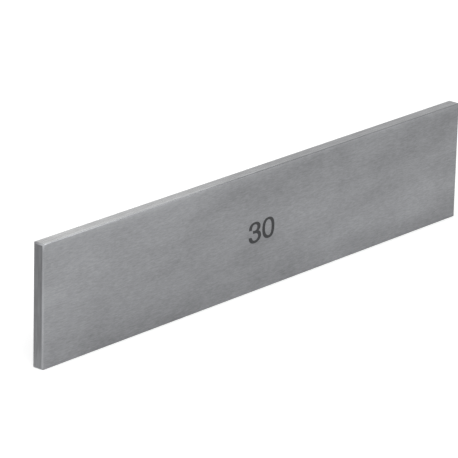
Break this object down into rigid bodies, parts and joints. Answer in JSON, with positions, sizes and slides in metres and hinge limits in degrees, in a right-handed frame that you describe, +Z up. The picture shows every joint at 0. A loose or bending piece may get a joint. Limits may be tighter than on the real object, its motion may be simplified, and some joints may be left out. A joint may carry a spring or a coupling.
{
  "type": "precision parallel",
  "caption": "Flat ground steel bar with chamfered edges that stands on edge in a machine vice and lifts the work level to a known height.",
  "frame": {"origin": "middle of the bottom face, midway along the bar and midway through its thickness", "axes": "+X along the bar, +Y through its thickness and away from the face that carries the size mark, +Z up from the bottom face to the working face"},
  "size_m": [0.15, 0.0032, 0.03],
  "materials": {
    "ground_steel": "surface ground, satin grey, with the grinding lay along the bar"
  },
  "bodies": {
    "root": {"parallel_bar": "ground_steel"}
  },
  "joints": []
}
